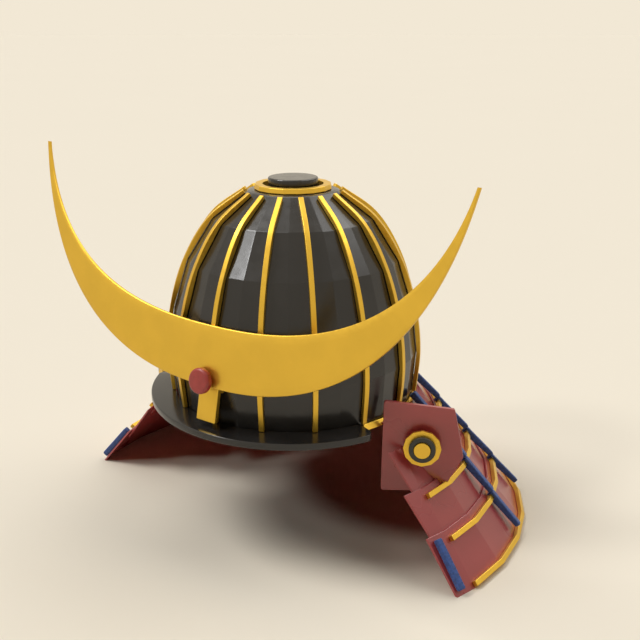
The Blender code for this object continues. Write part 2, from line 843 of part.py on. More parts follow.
def crest_holder(shop, envelope):
    """A leaning tongue below the crescent and a block behind it that seats on the bowl."""
    seat = -CREST_THICK - FIT
    front = -CREST_THICK - HOLDER_SETBACK
    back = front - HOLDER_THICK
    deep = -CREST_PLANE_OUT / 4
    shelf = CREST_LOWER_EDGE - HOLDER_SHELF_DROP
    heel = shelf - HOLDER_BACK_DROP
    side = [
        (HOLDER_BOTTOM, front),
        (shelf, front),
        (shelf, seat),
        (HOLDER_TOP, seat),
        (HOLDER_TOP, deep),
        (heel, deep),
        (heel, back),
        (HOLDER_BOTTOM, back),
    ]
    half = HOLDER_WIDTH / 2
    mesh = plate_mesh("crest_holder", [side], -half, half)
    # drawn with X up the crest's plane and Y out of it
    place = crest_place() @ spot((0, 0, 0), (0, 1, 0), (0, 0, 1))
    made = shop.add("crest_holder", mesh, place, (GOLD, 0.3, 1.0))
    bevel(made, HOLDER_BEVEL, 1, 60.0)
    boolean(made, envelope)
    groove = shop.add("rib_groove", rib_mesh("rib_groove", FIT), rib_place(0.0))
    boolean(made, shop.make_cutter(groove))
    return made


def stand_on_floor(shop):
    """Places the carrying empty so that the helmet stands on z = 0, centred on the origin."""
    bpy.context.view_layer.update()
    graph = bpy.context.evaluated_depsgraph_get()
    corners = []
    for thing in shop.pieces.objects:
        if thing.type == "MESH":
            solid = thing.evaluated_get(graph)
            mesh = solid.to_mesh()
            corners += [solid.matrix_world @ v.co for v in mesh.vertices]
            solid.to_mesh_clear()
    low = [min(c[i] for c in corners) for i in range(3)]
    high = [max(c[i] for c in corners) for i in range(3)]
    shop.carrier.location = (-(low[0] + high[0]) / 2, -(low[1] + high[1]) / 2, -low[2])
    bpy.context.view_layer.update()


def main():
    shop = Workshop()
    bowl_shell(shop)
    ribs(shop)
    crown_ring(shop)
    crown_cap(shop)
    visor(shop)
    envelope = bowl_envelope(shop, FIT)
    base_band(shop, envelope)
    for number in range(1, 5):
        made = lame(shop, number)
        if number == 1:
            behind_plate(shop, made)
    for index in range(4):
        made = trim(shop, index)
        if index == 0:
            behind_plate(shop, made)
    trim_cutters = [shop.make_cutter(trim(shop, index, FIT)) for index in range(3)]
    lacing(shop, trim_cutters)
    slots = [shop.make_cutter(lame(shop, number, FIT)) for number in (2, 3)]
    plate = turnback_plate(shop, slots + [trim_cutters[1]])
    mirrored(shop, plate, "turnback_plate_l")
    mirrored(shop, disc(shop), "disc_gilt_l")
    mirrored(shop, disc_ring(shop), "disc_ring_l")
    crest_holder(shop, envelope)
    crest_crescent(shop)
    crest_stud(shop)
    stand_on_floor(shop)


main()
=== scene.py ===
"""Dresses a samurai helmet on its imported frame: lacquered iron, gilding, folded red lames, silk lacing.

Lengths are metres. The bowl's axis is vertical and its front faces -Y; angles round it are measured
in degrees from the front towards +X. Most pieces are worked out in the bowl's own frame, whose zero
is the bowl's base line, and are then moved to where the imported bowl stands.
"""

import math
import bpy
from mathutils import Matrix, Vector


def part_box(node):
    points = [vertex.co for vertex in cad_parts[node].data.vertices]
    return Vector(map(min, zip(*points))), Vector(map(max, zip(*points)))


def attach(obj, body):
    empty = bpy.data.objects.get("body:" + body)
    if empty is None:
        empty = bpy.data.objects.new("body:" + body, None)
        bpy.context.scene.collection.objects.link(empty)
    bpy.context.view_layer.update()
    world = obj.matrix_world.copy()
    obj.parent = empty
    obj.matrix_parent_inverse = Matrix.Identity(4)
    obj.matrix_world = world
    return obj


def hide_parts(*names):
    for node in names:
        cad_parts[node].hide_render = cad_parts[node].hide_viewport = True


bl_info = {
    "name": "Kabuto Helmet",
    "version": (1, 0, 0),
    "blender": (4, 5, 0),
    "location": "3D View > Sidebar > Kabuto",
    "description": "Builds the finished pieces of a samurai helmet on its frame, with a plain studio",
    "category": "Add Mesh",
}

import bmesh
import bpy
import numpy as np
from bpy.props import FloatProperty, FloatVectorProperty, IntProperty, PointerProperty
from bpy.types import Operator, Panel, PropertyGroup
from mathutils import Vector

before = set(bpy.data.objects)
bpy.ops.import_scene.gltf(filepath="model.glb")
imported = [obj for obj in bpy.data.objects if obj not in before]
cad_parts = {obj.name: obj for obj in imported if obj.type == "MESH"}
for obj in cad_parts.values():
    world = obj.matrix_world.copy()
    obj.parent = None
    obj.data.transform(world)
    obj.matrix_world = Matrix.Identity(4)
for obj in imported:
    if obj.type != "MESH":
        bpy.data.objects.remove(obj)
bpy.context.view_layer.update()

PALE = "#f2e8d5"

# the gap between neighbouring pieces
FIT = 0.0003
# how far the bowl's wall goes on below its base line
BOWL_SKIRT = 0.0050
BOWL_LOW, BOWL_HIGH = (Vector(corner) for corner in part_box("bowl_shell"))
AXIS_Y = (BOWL_LOW.y + BOWL_HIGH.y) / 2
BASE_Z = BOWL_LOW.z + BOWL_SKIRT

# the bowl's rings, as shares of its height and of its radius, from the base up
BOWL_ROWS = np.array([
    (0.0, 0.973),
    (0.22, 1.0),
    (0.44, 0.958),
    (0.677, 0.836),
    (0.874, 0.631),
    (1.0, 0.3515),
])
BOWL_SIDES = 32
FOLD = 360.0 / BOWL_SIDES
RIB_STEPS = 49
RING_SIDES = 16

# the visor runs this many degrees to each side of the front
VISOR_REACH = 66.0
VISOR_STEPS = 57

# the slope of the neck guard's cone, and the ways down it and out of it as (radius, height)
NECK_ANGLE = math.radians(48.5)
NECK_DOWN = np.array([math.cos(NECK_ANGLE), -math.sin(NECK_ANGLE)])
NECK_OUT = np.array([math.sin(NECK_ANGLE), math.cos(NECK_ANGLE)])
# degrees from the front to each piece's first fold
BAND_GAP = 6 * FOLD
LAME_GAPS = {1: 7 * FOLD, 2: 6 * FOLD, 3: 6 * FOLD, 4: 6 * FOLD}
TRIM_GAP = 7 * FOLD

# the lames' top and bottom edges, as shares of the neck guard's length down its slope
LAME_EDGES = ((0.008, 0.2217), (0.181, 0.479), (0.421, 0.729), (0.669, 1.0))
# how far in front of the bowl's axis lames 2 to 4 end, at the top edge and at the bottom edge
LAME_FRONTS = {2: (0.0389, 0.0389), 3: (0.0498, 0.0498), 4: (0.0555, 0.0617)}
# the lame that each upper trim lies on, and how far below its top edge
TRIM_PLACES = ((2, 0.0024), (3, 0.0082), (4, 0.0083))
# the last trim's middle, above the lowest edge
LAST_TRIM_RISE = 0.0033

# chains of lacing bars and their angles from the front
LACE_CHAINS = (("mid_r", 104.0), ("mid_l", -104.0), ("back_r", 126.0), ("back_l", -126.0), ("centre", 180.0))
# the chains start this far above the base line, and their joints lie this far above the trims' middles
LACE_TOP = 0.0042
LACE_TUCK = 0.0037
LAST_LACE_TUCK = 0.0047
# a bar's upper face at its head and its under face at its tail, out from the cone
LACE_HEAD_OUT = 0.0029
LACE_TAIL_OUT = 0.0042
# the braid: rows of points to a stitch, points round a bar and how square its section is
BRAID_ROWS = 9
BRAID_AROUND = 32
BRAID_SQUARE = 0.38
# a bar's ends are drawn in over this length, to this share of its width
BRAID_END = 0.0016
BRAID_END_SHARE = 0.72
# how deep the stitches are, how full, how far they slant, and the middle groove's width and share of depth
BRAID_RELIEF = 0.00022
BRAID_FULLNESS = 0.6
BRAID_SLANT = 0.55
BRAID_GROOVE = 0.12
BRAID_GROOVE_SHARE = 0.5
# the two front bars: their angle, the bare lame above and below them, and how far they stand out
FRONT_LACE_ANGLE = 74.6
FRONT_LACE_TOP = 0.0038
FRONT_LACE_FOOT = 0.0039
FRONT_LACE_OUT = 0.0062

# the point on the right turned-back plate's face that its places are measured from, its turn and its tilt
PLATE_ORIGIN = np.array([0.1537, -0.0108, -0.0463])
PLATE_TURN = 28.0
PLATE_TILT = 3.0
# the disc's middle, along the plate and up it
DISC_PLACE = (-0.0098, 0.0279)

# the crest's plane: its lean in degrees, and how far in front of the bowl's axis it meets the base line
CREST_LEAN = 12.15
CREST_PLANE_OUT = 0.1332
# the crescent's edges leave the middle level as far as the first share of its half span, and reach the
# tips past a handle at shares of its half span and of its tips' height
CREST_LOWER_REACH, CREST_LOWER_HANDLE = 0.137, (0.860, 0.147)
CREST_UPPER_REACH, CREST_UPPER_HANDLE = 0.235, (0.857, 0.412)
# the beaten front's rise at its middle, where the crescent is at least this wide
CREST_CROWN = 0.00035
CREST_CROWN_WIDTH = 0.04
CREST_STEPS = 90
# the stud's middle up the crest's plane, the back of its head, and its collar's and neck's radii
STUD_HEIGHT = 0.0444
STUD_BACK = 0.0023
STUD_COLLAR = 0.0070
STUD_NECK = 0.0050

# widths of the smaller pieces' eased edges
RIB_EDGE = 0.0005
RING_CORNER = 0.0005
RING_EDGE = 0.0003
CAP_EDGE = 0.0002
VISOR_EDGE = 0.0011
BAND_EDGE = 0.0004
DISC_EDGE = 0.0005
DARK_RING_CORNER = 0.0006
CREST_EDGE = 0.0009

# an edge is eased or kept sharp where its faces turn by at least so many degrees
PLAIN_TURN = 30.0
FACET_TURN = 4.0
FOLD_TURN = 6.0
RING_TURN = 14.0
RIB_TURN = 50.0

# points nearer than these are one: in pieces made here, and in copies of the frame's
MERGE = 0.000002
COPY_MERGE = 0.00001


def linear(code):
    """An sRGB hex colour as linear red, green and blue."""
    values = [int(code[i:i + 2], 16) / 255 for i in (1, 3, 5)]
    return tuple(v / 12.92 if v <= 0.04045 else ((v + 0.055) / 1.055) ** 2.4 for v in values)


def length(name, description, default):
    """A size in metres."""
    return FloatProperty(name=name, description=description, default=default, unit="LENGTH", precision=4)


def tint(name, description, code):
    """A colour from its sRGB hex code."""
    return FloatVectorProperty(
        name=name, description=description, default=linear(code), subtype="COLOR", min=0.0, max=1.0
    )


class KabutoSizes(PropertyGroup):
    """Sizes of the finished pieces, which follow the frame."""

    bowl_radius: length("Bowl radius", "Outside radius at the bowl's widest fold", 0.1130)
    bowl_height: length("Bowl height", "From the base line to the bowl's top edge", 0.1823)
    bowl_wall: length("Bowl wall", "Thickness of the bowl's iron", 0.0022)
    seat_radius: length("Crown seat radius", "Radius of the flat on top of the bowl", 0.0365)
    seat_rise: length("Crown seat rise", "Height of that flat above the bowl's top edge", 0.0009)
    facet_edge: length("Facet edge", "Width of the eased edges between the bowl's facets", 0.0005)
    rib_count: IntProperty(name="Ribs", description="Number of gilt ribs", default=16, min=4, max=32)
    rib_width: length("Rib width", "Width of a gilt rib", 0.0044)
    rib_height: length("Rib height", "How far a rib stands out from the bowl", 0.0034)
    rib_margin: length("Rib margin", "From a rib's top end to the bowl's top edge", 0.0030)
    ring_outer: length("Crown ring radius", "Outside radius of the crown ring", 0.0344)
    ring_inner: length("Crown ring hole", "Inside radius of the crown ring", 0.0270)
    ring_height: length("Crown ring height", "Height of the crown ring", 0.0045)
    ring_taper: length("Crown ring taper", "How far its outer face slopes in", 0.0009)
    cap_radius: length("Cap radius", "Radius of the crown cap", 0.0221)
    cap_height: length("Cap height", "Height of the crown cap", 0.0100)
    cap_bevel: length("Cap bevel", "Width of the cap's bevelled edge", 0.0015)
    visor_radius: length("Visor radius", "Outside radius of the visor", 0.1330)
    visor_thick: length("Visor thickness", "Thickness of the visor at its rim", 0.0062)
    visor_rise: length("Visor rise", "Its upper face above the bowl's base line", 0.0011)
    visor_corner: length("Visor corner", "Radius of the visor's two corners", 0.0070)
    neck_radius: length("Neck cone radius", "Radius of the neck guard's cone at the base line", 0.1135)
    neck_length: length("Neck guard length", "Length of the neck guard down its slope", 0.1561)
    lame_thick: length("Lame thickness", "Thickness of one lame", 0.0018)
    lame_lift: length("Lame lift", "How far a lame's top edge stands out from the cone", 0.0006)
    lame_edge: length("Lame edge", "Width of the eased edges of a lame", 0.0005)
    band_height: length("Base band height", "Height of the gilt band round the base", 0.0045)
    trim_width: length("Trim width", "Width of a gilt trim", 0.0045)
    trim_height: length("Trim height", "How far a trim stands out", 0.0043)
    trim_edge: length("Trim edge", "Width of a trim's eased edges", 0.0004)
    lace_width: length("Lace width", "Width of a lacing bar", 0.0062)
    lace_thick: length("Lace thickness", "Thickness of a lacing bar at its tail", 0.0050)
    lace_stitch: length("Lace stitch", "Length of one stitch of the braid", 0.0026)
    plate_thick: length("Plate thickness", "Thickness of a turned-back plate", 0.0039)
    plate_edge: length("Plate edge", "Width of the eased edges of cut plates", 0.0005)
    disc_standoff: length("Disc stand-off", "From the plate to the back of the gilt disc", 0.0067)
    disc_thick: length("Disc thickness", "Thickness of the gilt disc", 0.0024)
    disc_ring_radius: length("Disc ring radius", "Outside radius of the dark ring", 0.0113)
    disc_ring_height: length("Disc ring height", "How far the dark ring stands up", 0.0036)
    boss_radius: length("Boss radius", "Radius of the gilt boss", 0.0069)
    crest_half_span: length("Crest half span", "From the middle to a horn's tip", 0.2160)
    crest_tip_height: length("Crest tip height", "Height of the tips up the crest's plane", 0.2225)
    crest_lower: length("Crest lower edge", "Height of the lower edge at the middle", 0.0396)
    crest_upper: length("Crest upper edge", "Height of the upper edge at the middle", 0.0904)
    crest_thick: length("Crest thickness", "Thickness of the crescent", 0.0031)
    crest_tip_width: length("Crest tip width", "Width of a horn's blunt tip", 0.0022)
    stud_radius: length("Stud radius", "Radius of the stud's head", 0.0108)
    stud_face: length("Stud face", "How far the head stands out from the crest", 0.0083)
    stud_round: length("Stud round", "Radius of the head's rounded edge", 0.0026)


class KabutoColours(PropertyGroup):
    """Colours of the finishes."""

    iron: tint("Black lacquer", "Lacquer on the iron bowl, cap and visor", "#262423")
    gilt: tint("Gilding", "Fire gilding on the ribs, trims, crest and fittings", "#dfb541")
    red: tint("Red lacquer", "Lacquer on the lames and turned-back plates", "#ab4041")
    stud: tint("Stud lacquer", "Lacquer on the stud", "#a23a35")
    ring: tint("Ring lacquer", "Lacquer on the dark rings", "#2b2b27")
    silk: tint("Silk", "Braided silk lacing", "#304e8e")
    floor: tint("Floor", "The studio's paper floor", PALE)


def aims(angle):
    """Unit vectors out from the bowl's axis at angles measured from the front."""
    turned = np.radians(angle)
    return np.stack([np.sin(turned), -np.cos(turned), np.zeros_like(turned)], axis=-1)


def turned_points(profile, angles):
    """Each (radius, height) pair of the profile carried to each angle: rows are angles."""
    out = aims(np.asarray(angles, float))[:, None, :]
    points = out * profile[None, :, :1]
    points[..., 2] = profile[None, :, 1]
    return points


def grid_faces(rows, columns, rows_closed, columns_closed):
    """Quads between neighbours of a grid whose points are numbered row by row."""
    i = np.arange(rows if rows_closed else rows - 1)
    j = np.arange(columns if columns_closed else columns - 1)
    i, j = (a.ravel() for a in np.meshgrid(i, j, indexing="ij"))
    ni = (i + 1) % rows
    nj = (j + 1) % columns
    return np.stack([i * columns + j, ni * columns + j, ni * columns + nj, i * columns + nj], axis=-1)


def loft(points, rows_closed=False, capped=True):
    """A tube over rows of closed sections, with a face across each open end."""
    rows, columns = points.shape[:2]
    faces = grid_faces(rows, columns, rows_closed, True).tolist()
    if capped and not rows_closed:
        faces.append(list(range(columns)))
        faces.append(list(range((rows - 1) * columns, rows * columns)))
    return points.reshape(-1, 3), faces


def around_axis(profile, sides):
    """The profile turned about the bowl's axis in equal steps, as (points, faces)."""
    points = turned_points(profile, np.arange(sides) * 360.0 / sides)
    return points.reshape(-1, 3), grid_faces(sides, len(profile), True, False).tolist()


def turns_in(across, up, steps):
    """Unit vectors at equal steps round the circle that starts along across and turns towards up."""
    turn = np.arange(steps) * 2 * np.pi / steps
    return np.cos(turn)[:, None] * across + np.sin(turn)[:, None] * up


def eased_corners(corners, radius, steps=3):
    """A closed (x, y) outline whose corners are arcs: each runs from one side's tangent point to the next."""
    corners = np.asarray(corners, float)
    before = np.roll(corners, 1, axis=0) - corners
    after = np.roll(corners, -1, axis=0) - corners
    before /= np.linalg.norm(before, axis=1, keepdims=True)
    after /= np.linalg.norm(after, axis=1, keepdims=True)
    half = np.arccos(np.clip((before * after).sum(1), -1, 1)) / 2
    middle = (before + after) / np.linalg.norm(before + after, axis=1, keepdims=True)
    centre = corners + middle * (radius / np.sin(half))[:, None]
    start = corners + before * (radius / np.tan(half))[:, None] - centre
    end = corners + after * (radius / np.tan(half))[:, None] - centre
    share = np.linspace(0, 1, steps + 1)[None, :, None]
    sweep = (np.pi - 2 * half)[:, None, None]
    arcs = np.sin((1 - share) * sweep) * start[:, None] + np.sin(share * sweep) * end[:, None]
    return (centre[:, None] + arcs / np.sin(sweep)).reshape(-1, 2)


def make_piece(name, surface, material, nodes, edge=0.0, edge_angle=PLAIN_TURN, smooth=None):
    """A mesh object from (points, faces) in the bowl's frame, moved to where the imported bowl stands.

    Edges that turn by edge_angle degrees are eased; shading is smooth up to the turn that smooth gives.
    """
    points, faces = surface
    points = points + np.array([0.0, AXIS_Y, BASE_Z])
    mesh = bpy.data.meshes.new(name)
    mesh.from_pydata(points.tolist(), [], faces)
    clean = bmesh.new()
    clean.from_mesh(mesh)
    bmesh.ops.remove_doubles(clean, verts=clean.verts, dist=MERGE)
    bmesh.ops.recalc_face_normals(clean, faces=clean.faces)
    clean.to_mesh(mesh)
    clean.free()
    return finish_piece(name, mesh, material, nodes, edge, edge_angle, smooth)


def finish_piece(name, mesh, material, nodes, edge, edge_angle, smooth):
    """An object with its finish and eased edges, riding on the frame and standing for its nodes."""
    thing = bpy.data.objects.new(name, mesh)
    bpy.context.scene.collection.objects.link(thing)
    mesh.materials.append(material)
    if smooth is not None:
        mesh.shade_smooth()
        mesh.set_sharp_from_angle(angle=math.radians(smooth))
    if edge:
        bevel = thing.modifiers.new("Eased edges", "BEVEL")
        bevel.width = edge
        bevel.segments = 2
        bevel.limit_method = "ANGLE"
        bevel.angle_limit = math.radians(edge_angle)
        bevel.harden_normals = smooth is not None
    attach(thing, "root")
    if nodes:
        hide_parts(*nodes)
    return thing


def eased_copy(name, node, material, edge):
    """A cut plate of the frame with its flats made whole again and its edges eased."""
    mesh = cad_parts[node].data.copy()
    mesh.name = name
    mesh.materials.clear()
    clean = bmesh.new()
    clean.from_mesh(mesh)
    bmesh.ops.remove_doubles(clean, verts=clean.verts, dist=COPY_MERGE)
    bmesh.ops.dissolve_limit(clean, angle_limit=math.radians(1.0), verts=clean.verts, edges=clean.edges)
    clean.to_mesh(mesh)
    clean.free()
    return finish_piece(name, mesh, material, [node], edge, PLAIN_TURN, PLAIN_TURN)


# Finishes

def add(tree, kind, settings=None, **inputs):
    """Adds a node: settings are its own values, inputs are socket values or links to other nodes' outputs."""
    node = tree.nodes.new(kind)
    for key, value in (settings or {}).items():
        setattr(node, key, value)
    for key, value in inputs.items():
        socket = node.inputs[key.replace("_", " ")]
        if isinstance(value, bpy.types.NodeSocket):
            tree.links.new(value, socket)
        else:
            socket.default_value = value
    return node


def new_finish(name):
    """A material, its node tree and its shader."""
    material = bpy.data.materials.new(name)
    material.use_nodes = True
    return material, material.node_tree, material.node_tree.nodes["Principled BSDF"]


def cloud(tree, millimetres, detail):
    """Noise on Object coordinates, in patches about so many millimetres across."""
    place = add(tree, "ShaderNodeTexCoord").outputs["Object"]
    noise = add(tree, "ShaderNodeTexNoise", Vector=place, Scale=1000.0 / millimetres, Detail=detail)
    return noise.outputs["Fac"]


def mottled(tree, millimetres, colour, dark, light, detail=4.0):
    """The base colour drifts between two tones of a linear colour, in patches of a real size."""
    ramp = add(tree, "ShaderNodeValToRGB", Fac=cloud(tree, millimetres, detail))
    ramp.color_ramp.interpolation = "EASE"
    for element, position, factor in zip(ramp.color_ramp.elements, (0.35, 0.65), (dark, light)):
        element.position = position
        element.color = (*(min(1.0, channel * factor) for channel in colour), 1.0)
    tree.links.new(ramp.outputs["Color"], tree.nodes["Principled BSDF"].inputs["Base Color"])


def worn(tree, millimetres, low, high, detail=3.0):
    """The roughness drifts between two values, in patches of a real size."""
    mapped = add(tree, "ShaderNodeMapRange", {"interpolation_type": "SMOOTHSTEP"},
                 Value=cloud(tree, millimetres, detail), From_Min=0.3, From_Max=0.7, To_Min=low, To_Max=high)
    tree.links.new(mapped.outputs["Result"], tree.nodes["Principled BSDF"].inputs["Roughness"])


def relief(tree, millimetres, depth, detail=2.0):
    """Bumps of a real width and depth, in millimetres."""
    height = cloud(tree, millimetres, detail)
    bump = add(tree, "ShaderNodeBump", Strength=1.0, Distance=depth / 1000, Height=height)
    tree.links.new(bump.outputs["Normal"], tree.nodes["Principled BSDF"].inputs["Normal"])


def black_lacquered_iron(colours):
    """Roiro lacquer brushed over hammered iron: near black, satin, with the hammer's faint dimples."""
    material, tree, shader = new_finish("black_lacquered_iron")
    mottled(tree, 30.0, colours.iron, 0.9, 1.1)
    worn(tree, 9.0, 0.17, 0.23)
    relief(tree, 9.0, 0.012, detail=1.0)
    shader.inputs["IOR"].default_value = 1.5
    return material


def fire_gilding(colours):
    """Fire gilding burnished by hand: warm gold, a little uneven in tone and polish."""
    material, tree, shader = new_finish("fire_gilding")
    mottled(tree, 30.0, colours.gilt, 0.97, 1.02)
    worn(tree, 4.0, 0.30, 0.40)
    relief(tree, 2.5, 0.004)
    shader.inputs["Metallic"].default_value = 0.85
    return material


def red_lacquer(colours):
    """Vermilion lacquer over dark ground, polished: deep red with a clear gloss."""
    material, tree, shader = new_finish("red_lacquer")
    mottled(tree, 40.0, colours.red, 0.97, 1.03, detail=1.0)
    worn(tree, 30.0, 0.27, 0.31, detail=1.0)
    shader.inputs["IOR"].default_value = 1.52
    shader.inputs["Coat Weight"].default_value = 0.4
    shader.inputs["Coat Roughness"].default_value = 0.3
    return material


def stud_lacquer(colours):
    """The stud's brighter red lacquer, satin."""
    material, tree = new_finish("stud_lacquer")[:2]
    mottled(tree, 5.0, colours.stud, 0.93, 1.07)
    worn(tree, 2.0, 0.32, 0.4)
    relief(tree, 1.5, 0.01)
    return material


def ring_lacquer(colours):
    """Black lacquer on the small turned rings, satin."""
    material, tree = new_finish("ring_lacquer")[:2]
    mottled(tree, 4.0, colours.ring, 0.85, 1.2)
    worn(tree, 2.0, 0.36, 0.44)
    return material


def braided_silk(colours):
    """Flat braided silk: fine filaments with a soft sheen, darker between the stitches."""
    material, tree, shader = new_finish("braided_silk")
    mottled(tree, 3.0, colours.silk, 0.8, 1.25, detail=6.0)
    # real filaments are 0.02 mm; they are drawn at 0.35 mm so that they show
    relief(tree, 0.35, 0.05, detail=3.0)
    shader.inputs["Roughness"].default_value = 0.62
    shader.inputs["Sheen Weight"].default_value = 0.35
    shader.inputs["Sheen Roughness"].default_value = 0.4
    return material


def studio_paper(colours):
    """Matt paper with faint clouding."""
    material, tree, shader = new_finish("studio_paper")
    mottled(tree, 900.0, colours.floor, 0.996, 1.0)
    shader.inputs["Roughness"].default_value = 1.0
    shader.inputs["Specular IOR Level"].default_value = 0.0
    return material


FINISHES = {}


def finish_of(maker):
    """Each finish is made once, when a piece first needs it."""
    if maker.__name__ not in FINISHES:
        FINISHES[maker.__name__] = maker(bpy.context.scene.kabuto_colours)
    return FINISHES[maker.__name__]


# The bowl

def bowl_rings(s):
    """(radius, height) of the bowl's outer folds, from the top edge to the bottom of its skirt."""
    rings = BOWL_ROWS[::-1, ::-1] * np.array([s.bowl_radius, s.bowl_height])
    return np.vstack([rings, [rings[-1, 0], -BOWL_SKIRT]])


def mitres(line):
    """For each point of an open line that runs down, the way out of it for one unit of offset."""
    ways = np.diff(line, axis=0)
    ways /= np.linalg.norm(ways, axis=1, keepdims=True)
    outs = np.stack([-ways[:, 1], ways[:, 0]], axis=1)
    first = np.vstack([outs[:1], outs])
    second = np.vstack([outs, outs[-1:]])
    mean = first + second
    mean /= np.linalg.norm(mean, axis=1, keepdims=True)
    return mean / (mean * first).sum(1, keepdims=True)


def radius_at(line, height):
    """The radius of a line that runs down, at a height."""
    return float(np.interp(height, line[::-1, 1], line[::-1, 0]))


def build_bowl(s):
    """The bowl's folds turned in flat facets, with its inner side an equal wall inside them."""
    seat = s.bowl_height + s.seat_rise
    outer = np.vstack([[0.0, seat], [s.seat_radius, seat], bowl_rings(s)])
    inner = outer - mitres(outer) * s.bowl_wall
    inner[0] = (0.0, seat - s.bowl_wall)
    inner[-1, 1] = -BOWL_SKIRT
    surface = around_axis(np.vstack([outer, inner[::-1]]), BOWL_SIDES)
    make_piece("bowl", surface, finish_of(black_lacquered_iron), ["bowl_shell"],
               edge=s.facet_edge, edge_angle=FACET_TURN)


def along_rings(line, share):
    """Points along an open line and along the smooth curve through its corners, at equal shares.

    The curve is a Hermite arc between corners: at each corner it runs as the chord between that
    corner's neighbours does, and at the line's ends it runs as the line does.
    """
    steps = np.concatenate([[0.0], np.cumsum(np.linalg.norm(np.diff(line, axis=0), axis=1))])
    runs = np.gradient(line, steps, axis=0)
    at = share * steps[-1]
    k = np.clip(np.searchsorted(steps, at, side="right") - 1, 0, len(line) - 2)
    reach = (steps[k + 1] - steps[k])[:, None]
    t = (at - steps[k])[:, None] / reach
    straight = line[k] + (line[k + 1] - line[k]) * t
    curved = ((1 + 2 * t) * (1 - t) ** 2 * line[k] + t * (1 - t) ** 2 * reach * runs[k]
              + t ** 2 * (3 - 2 * t) * line[k + 1] - t ** 2 * (1 - t) * reach * runs[k + 1])
    return straight, curved


def build_ribs(s):
    """A bar down the bowl's folds: its foot lies on them and its back is the smooth curve through them."""
    rings = bowl_rings(s)
    foot = s.visor_rise + FIT
    down = rings[1] - rings[0]
    rings[0] += down * s.rib_margin / np.linalg.norm(down)
    kept = rings[rings[:, 1] > foot]
    line = np.vstack([kept, [radius_at(rings, foot), foot]])
    straight, curved = along_rings(line, np.linspace(0, 1, RIB_STEPS))
    inner_ways, ways = mitres(straight), mitres(curved)
    inner_ways[-1] = (1.0, 0.0)
    ways[-1] = (1.0, 0.0)
    half = s.rib_width / 2
    section = np.array([(-half, 0.0), (half, 0.0), (half, 1.0), (-half, 1.0)])
    lift = section[:, 1]
    low = straight + inner_ways * FIT
    high = curved + ways * (FIT + s.rib_height)
    flat = low[:, None, :] + (high - low)[:, None, :] * lift[None, :, None]
    for number in range(s.rib_count):
        angle = 360.0 * number / s.rib_count
        out = aims(np.array(angle))
        across = aims(np.array(angle + 90.0))
        points = flat[..., :1] * out + section[None, :, :1] * across
        points[..., 2] = flat[..., 1]
        name = f"rib_{number + 1:02d}"
        nodes = [name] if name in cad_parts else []
        make_piece("gilt_" + name, loft(points), finish_of(fire_gilding), nodes, edge=RIB_EDGE,
                   edge_angle=RIB_TURN, smooth=25.0)


def build_crown(s):
    """A ring of flats round a bevelled cap, both turned on the bowl's axis."""
    foot = s.bowl_height + s.seat_rise + FIT
    top = foot + s.ring_height
    ring = eased_corners([
        (s.ring_inner, foot),
        (s.ring_outer, foot),
        (s.ring_outer - s.ring_taper, top),
        (s.ring_inner, top),
    ], RING_CORNER, 2)
    points = turned_points(ring, np.arange(RING_SIDES) * 360.0 / RING_SIDES)
    make_piece("gilt_crown_ring", loft(points, rows_closed=True), finish_of(fire_gilding),
               ["crown_ring"], edge=RING_EDGE, edge_angle=RING_TURN)
    top = foot + s.cap_height
    lean = np.radians(np.linspace(0, 90, 4))
    edge = np.stack([
        s.cap_radius - s.cap_bevel + s.cap_bevel * np.sin(lean),
        top - s.cap_bevel + s.cap_bevel * np.cos(lean),
    ], axis=1)
    profile = np.vstack([[0.0, top], edge, [s.cap_radius, foot], [0.0, foot]])
    surface = around_axis(profile, BOWL_SIDES)
    make_piece("crown_cap_lacquered", surface, finish_of(black_lacquered_iron),
               ["crown_cap"], edge=CAP_EDGE, edge_angle=FACET_TURN)


def build_visor(s):
    """A flat section carried round the front; near its ends the rim draws in along a quarter circle."""
    corner_turn = math.degrees(s.visor_corner / s.visor_radius)
    ends = VISOR_REACH - corner_turn * (1 - np.cos(np.radians(np.linspace(0, 90, 8))))
    angles = np.concatenate([-ends, np.linspace(-ends[-1], ends[-1], VISOR_STEPS)[1:-1], ends[::-1]])
    past = np.clip((np.abs(angles) - (VISOR_REACH - corner_turn)) / corner_turn, 0, 1)
    rim = s.visor_radius - s.visor_corner * (1 - np.sqrt(1 - past ** 2))
    inner = np.full((len(angles), 1), radius_at(bowl_rings(s), s.visor_rise) + FIT)
    low, high = s.visor_rise - s.visor_thick, s.visor_rise
    lean = np.radians(np.linspace(-90, 0, 4))
    eased_in = VISOR_EDGE * np.cos(lean) - VISOR_EDGE
    eased_up = VISOR_EDGE + VISOR_EDGE * np.sin(lean)
    outs = np.concatenate([eased_in, eased_in[::-1]])
    heights = np.concatenate([low + eased_up, high - eased_up[::-1]])
    radii = np.concatenate([inner, rim[:, None] + outs[None, :], inner], axis=1)
    levels = np.concatenate([[low], heights, [high]])
    points = aims(angles)[:, None, :] * radii[..., None]
    points[..., 2] = levels[None, :]
    make_piece("visor_lacquered", loft(points), finish_of(black_lacquered_iron),
               ["visor"], smooth=30.0)


# The neck guard

def on_cone(s, down, out):
    """(radius, height) of places down the neck guard's cone and out from it."""
    start = np.array([s.neck_radius, 0.0])
    return start + np.multiply.outer(down, NECK_DOWN) + np.multiply.outer(out, NECK_OUT)


def lame_span(s, number):
    """A lame's top and bottom edges, down the slope."""
    top, bottom = LAME_EDGES[number - 1]
    return top * s.neck_length, bottom * s.neck_length


def lame_out(s, number, down):
    """A lame's outer face runs straight from its lifted top edge to where it tucks under the next."""
    top, bottom = lame_span(s, number)
    tuck, tuck_out = bottom, -FIT
    if number < len(LAME_EDGES):
        tuck = lame_span(s, number + 1)[0]
        tuck_out = s.lame_lift - s.lame_thick - FIT
    return s.lame_lift + (tuck_out - s.lame_lift) * (down - top) / (tuck - top)


